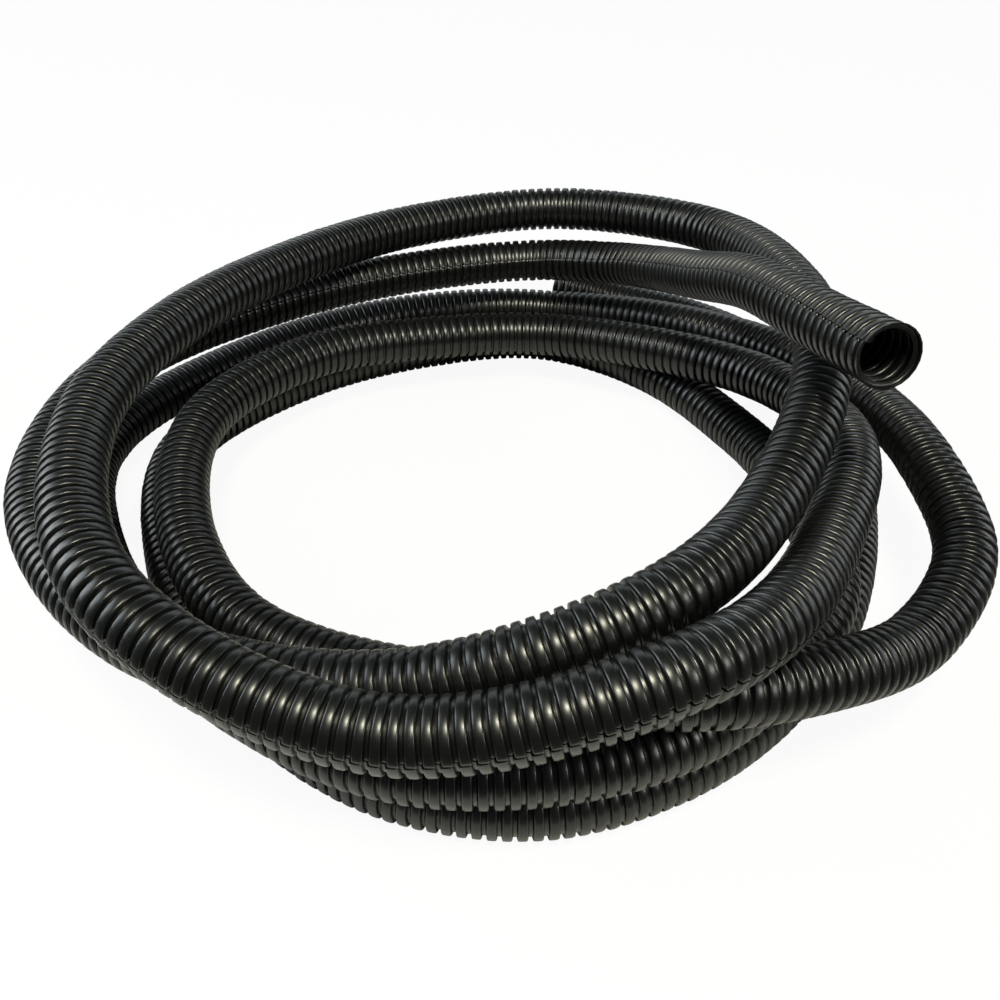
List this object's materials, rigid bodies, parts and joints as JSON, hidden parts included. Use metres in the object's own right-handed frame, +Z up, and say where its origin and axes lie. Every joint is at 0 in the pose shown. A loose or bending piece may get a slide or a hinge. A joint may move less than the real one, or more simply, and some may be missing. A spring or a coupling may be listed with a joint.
{
  "type": "split corrugated tube",
  "caption": "Black corrugated plastic tube, slit lengthwise with overlapping lips, lying loosely coiled with one open end raised over the coil.",
  "frame": {"origin": "centre of the whole part's bounding box seen from above, at the height of the floor that the coil lies on", "axes": "+Z up from the floor; +Y across the coil towards the far side, where the tube's end lies on the floor; +X towards the side where the open end is raised"},
  "size_m": [0.424, 0.4328, 0.148],
  "materials": {
    "tube": "satin black, moulded"
  },
  "bodies": {
    "root": {"coil": "tube", "tail": "tube", "raised_end": "tube", "floor_end": "tube"}
  },
  "joints": []
}
